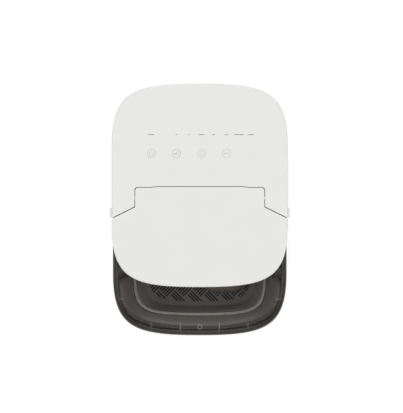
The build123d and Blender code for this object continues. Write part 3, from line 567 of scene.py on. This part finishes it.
rim_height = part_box("ice_basket")[1].z - RIM_DROP
right_half = [mouth_edge(step / RIM_STEPS, inset=RIM_INSET) for step in range(RIM_STEPS + 1)]
rim_line = [Vector((-spot.x, spot.y)) for spot in reversed(right_half)] + right_half[1:]
rim_path = bpy.data.curves.new("basket_rim_roll", "CURVE")
rim_path.dimensions = "3D"
rim_path.bevel_depth = RIM_R
rim_path.bevel_resolution = 3
rim_path.use_fill_caps = True
spline = rim_path.splines.new("POLY")
spline.points.add(len(rim_line) - 1)
for point, spot in zip(spline.points, rim_line):
    point.co = (spot.x, spot.y, rim_height, 1)
holder = link_piece("rim_path", rim_path)
rim_mesh = bpy.data.meshes.new_from_object(holder.evaluated_get(bpy.context.evaluated_depsgraph_get()))
bpy.data.objects.remove(holder)
rim_mesh.name = "basket_rim_roll"
rim_mesh.shade_smooth()
# The roll is painted paler than the basket, as a painted highlight, and is a little glossier, so
# it is the palest and glossiest line in the bin.
rim_painted_highlight_pp = moulded("brown_grey_pp_rim_painted_highlight", "DAD1CA", roughness=0.3, grain_mm=1.0, depth_mm=0.01)
rim_mesh.materials.clear()
rim_mesh.materials.append(rim_painted_highlight_pp)
rim = link_piece("basket_rim_roll", rim_mesh)
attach(rim, "basket")

# ---- Ice scoop ----
# A loose scoop of warm grey polypropylene, moulded in one piece against a polished tool. It
# lies in the basket, and the eye gets one soft, almost waxy sheen.
scoop_pp = moulded("warm_grey_pp_polished", "A89C93", roughness=0.28, grain_mm=6.0, depth_mm=0.01)
smooth_copy("ice_scoop", scoop_pp, bend=50)

# ---- Ice-making mechanism ----
# A food-safe white polypropylene frame holds the tilting tray and the pusher round the
# evaporator, a plate with freezing fingers of nickel-plated copper.
# The polypropylene is a soft, slightly waxy white with hardly any grain.
white_pp = moulded("white_pp_moulded", "D2D2CF", roughness=0.45, grain_mm=1.4, depth_mm=0.02)
for node in ("ice_maker_frame", "water_tray", "ice_pusher", "pump_impeller", "drain_pipe"):
    smooth_copy(node, white_pp)

# How far a metal's grain varies its roughness.
METAL_SHEEN = 0.06


def metal(name, colour, roughness, grain_mm, stretch=(1.0, 1.0, 1.0)):
    """Bare metal, whose grain is drawn out along one axis by how it was worked."""
    material, tree = new_material(name)
    place = add_node(tree, "ShaderNodeTexCoord")
    drawn = add_node(tree, "ShaderNodeMapping", {"Scale": stretch}, {"Vector": place.outputs["Object"]})
    grain = add_node(
        tree,
        "ShaderNodeTexNoise",
        {"Scale": 1 / (grain_mm * MM), "Detail": 3.0},
        {"Vector": drawn.outputs["Vector"]},
    )
    sheen = add_node(
        tree,
        "ShaderNodeMapRange",
        {
            "From Min": NOISE_LOW,
            "From Max": NOISE_HIGH,
            "To Min": roughness - METAL_SHEEN,
            "To Max": roughness + METAL_SHEEN,
        },
        {"Value": grain.outputs["Fac"]},
    )
    relief = add_node(
        tree,
        "ShaderNodeBump",
        {"Strength": 0.4, "Distance": 0.01 * MM},
        {"Height": grain.outputs["Fac"]},
    )
    bare = add_node(
        tree,
        "ShaderNodeBsdfPrincipled",
        {"Base Color": linear(colour), "Metallic": 1.0},
        {"Roughness": sheen.outputs["Result"], "Normal": relief.outputs["Normal"]},
    )
    add_node(tree, "ShaderNodeOutputMaterial", links={"Surface": bare.outputs["BSDF"]})
    return material


# Nickel plate is a warm silver, a little cloudy where the plating is uneven.
nickel = metal("nickel_plated_copper", "C9C4BA", roughness=0.22, grain_mm=2.5)
smooth_copy("evaporator", nickel)

# ---- Tray motor, sensors, pump, inlet, valve coil and fan ----
# Black glass-filled nylon mouldings, screwed or clipped in place. The glass fibres leave them a
# dull, faintly mottled black.
black_pa = moulded("black_pa_moulded", "1C1C1D", roughness=0.5, grain_mm=1.1, depth_mm=0.02)
for node in (
    "tray_motor",
    "ice_full_sensors",
    "level_probe",
    "water_pump",
    "power_inlet",
    "valve_coil",
    "condenser_fan",
    "fan_shroud",
):
    smooth_copy(node, black_pa)

# ---- Insulation jacket ----
# Moulded bead foam, slipped round the tank. Its closed cells, about 4 mm wide, show as shallow
# pits in a dead matt cream.
FOAM_BEAD = 4.0 * MM
FOAM_PIT = 0.4 * MM
bead_foam, tree = new_material("bead_foam_moulded")
place = add_node(tree, "ShaderNodeTexCoord")
beads = add_node(tree, "ShaderNodeTexVoronoi", {"Scale": 1 / FOAM_BEAD}, {"Vector": place.outputs["Object"]})
pits = add_node(
    tree,
    "ShaderNodeBump",
    {"Strength": 0.7, "Distance": FOAM_PIT},
    {"Height": beads.outputs["Distance"]},
)
foam = add_node(
    tree,
    "ShaderNodeBsdfPrincipled",
    {"Base Color": linear("DCD9D0"), "Roughness": 0.9},
    {"Normal": pits.outputs["Normal"]},
)
add_node(tree, "ShaderNodeOutputMaterial", links={"Surface": foam.outputs["BSDF"]})
smooth_copy("insulation_jacket", bead_foam)

# ---- Refrigeration ----
# A welded steel compressor, copper lines brazed to it and to the drier, a machined brass valve,
# and a condenser of thin aluminium fins pressed on tubes.
# Stoved enamel is a deep, wet-looking black with a slight orange peel.
enamel = moulded("black_stoved_enamel", "101113", roughness=0.24, grain_mm=7.0, depth_mm=0.03, coat=0.4)
smooth_copy("compressor", enamel)
# Drawn copper is a soft salmon pink, clouded by handling.
copper = metal("drawn_copper_tube", "B87452", roughness=0.3, grain_mm=3.0)
for line in ("suction_line", "discharge_line", "liquid_line", "capillary_line", "hot_gas_line"):
    smooth_copy(line, copper)
smooth_copy("filter_drier", copper)
# Turned brass is a bright dull gold. Its tool marks are drawn 1 mm apart so that they can show.
brass = metal("machined_brass", "B69A5C", roughness=0.26, grain_mm=1.2)
smooth_copy("hot_gas_valve", brass)
# Rolled fin stock is a pale silver with streaks along the way that it was rolled.
fin_stock = metal("rolled_aluminium_fins", "C3C7CA", roughness=0.34, grain_mm=2.0, stretch=(1.0, 0.1, 1.0))
smooth_copy("condenser_coil", fin_stock)

# ---- Screws, pins, springs, motor case and magnet ----
# Cold-headed steel screws hold the base and the board, ground steel pins carry the lid, springs
# reach from the board to the keys, and a pressed ferrite magnet sits in the window's ring boss.
# Zinc plate is a pale blue-grey with a fine crystal bloom, drawn 1 mm wide so that it can show.
zinc = metal("zinc_plated_steel", "A9ACB0", roughness=0.32, grain_mm=1.0)
for node in ("base_screws", "board_screws", "fan_motor"):
    smooth_copy(node, zinc)
# Ferrite is a dead, sooty black, like pressed graphite.
ferrite = moulded("pressed_ferrite", "141415", roughness=0.55, grain_mm=0.6, depth_mm=0.02)
smooth_copy("lid_magnet", ferrite)
# Ground steel is bright, with its grinding lines drawn out along the pins.
ground = metal("ground_steel", "C0C2C4", roughness=0.2, grain_mm=0.8, stretch=(0.15, 1.0, 1.0))
for node in ("hinge_pin_left", "hinge_pin_right", "touch_springs"):
    smooth_copy(node, ground)

# ---- Boards and lights ----
# Glass-fibre boards under green solder mask, screwed under the cover and in the lower bay, with
# small cast lenses over the indicator lights.
TRACK_PITCH = 40.0 * MM
MASK_GRAIN = 2.0 * MM
# The mask is a glossy green, and the copper tracks under it show as faint paler lines. They
# are drawn much coarser than real ones, which are too fine to show.
solder_mask, tree = new_material("green_solder_mask")
place = add_node(tree, "ShaderNodeTexCoord")
tracks = add_node(
    tree,
    "ShaderNodeTexBrick",
    {
        "Color1": linear("1F5A33"),
        "Color2": linear("235F38"),
        "Mortar": linear("3C7F50"),
        "Scale": 1 / TRACK_PITCH,
        "Mortar Size": 0.02,
    },
    {"Vector": place.outputs["Object"]},
)
mask_grain = add_node(
    tree,
    "ShaderNodeTexNoise",
    {"Scale": 1 / MASK_GRAIN, "Detail": 2.0, "Roughness": 0.55},
    {"Vector": place.outputs["Object"]},
)
mask_sheen = add_node(
    tree,
    "ShaderNodeMapRange",
    {"From Min": NOISE_LOW, "From Max": NOISE_HIGH, "To Min": 0.25, "To Max": 0.38},
    {"Value": mask_grain.outputs["Fac"]},
)
mask = add_node(
    tree,
    "ShaderNodeBsdfPrincipled",
    {"IOR": 1.52},
    {"Base Color": tracks.outputs["Color"], "Roughness": mask_sheen.outputs["Result"]},
)
add_node(tree, "ShaderNodeOutputMaterial", links={"Surface": mask.outputs["BSDF"]})
for node in ("control_board", "power_board"):
    smooth_copy(node, solder_mask)
# A cast lens is a smooth pale blue, like a drop of water.
lens = moulded("pale_cast_lens", "D5E2EC", roughness=0.15, grain_mm=5.0, depth_mm=0.005)
smooth_copy("indicator_lights", lens)

# ---- Rubber feet, grommets, drain plug and hose ----
# Compression-moulded nitrile rubber feet, grommets and plug, pushed into their holes, and a
# formed silicone hose from the pump up to the tray.
# Nitrile is a matt black with a faint grey bloom.
nitrile = moulded("black_nitrile_rubber", "202020", roughness=0.78, grain_mm=1.6, depth_mm=0.05)
for node in (
    "rubber_foot_front_left",
    "rubber_foot_front_right",
    "rubber_foot_rear_left",
    "rubber_foot_rear_right",
    "compressor_grommets",
    "drain_plug",
):
    smooth_copy(node, nitrile)
# Silicone is a milky pale grey with a soft, even sheen.
silicone = moulded("translucent_silicone", "C9C8C2", roughness=0.4, grain_mm=3.0, depth_mm=0.02)
smooth_copy("fill_hose", silicone)

# ---- Base plate ----
# A black polypropylene pan, screwed up into the housing. Its coarse grain gives a dull black
# that hardly catches the light.
base_pp = moulded("black_pp_base", "232323", roughness=0.55, grain_mm=1.2, depth_mm=0.03)
smooth_copy("base_plate", base_pp)
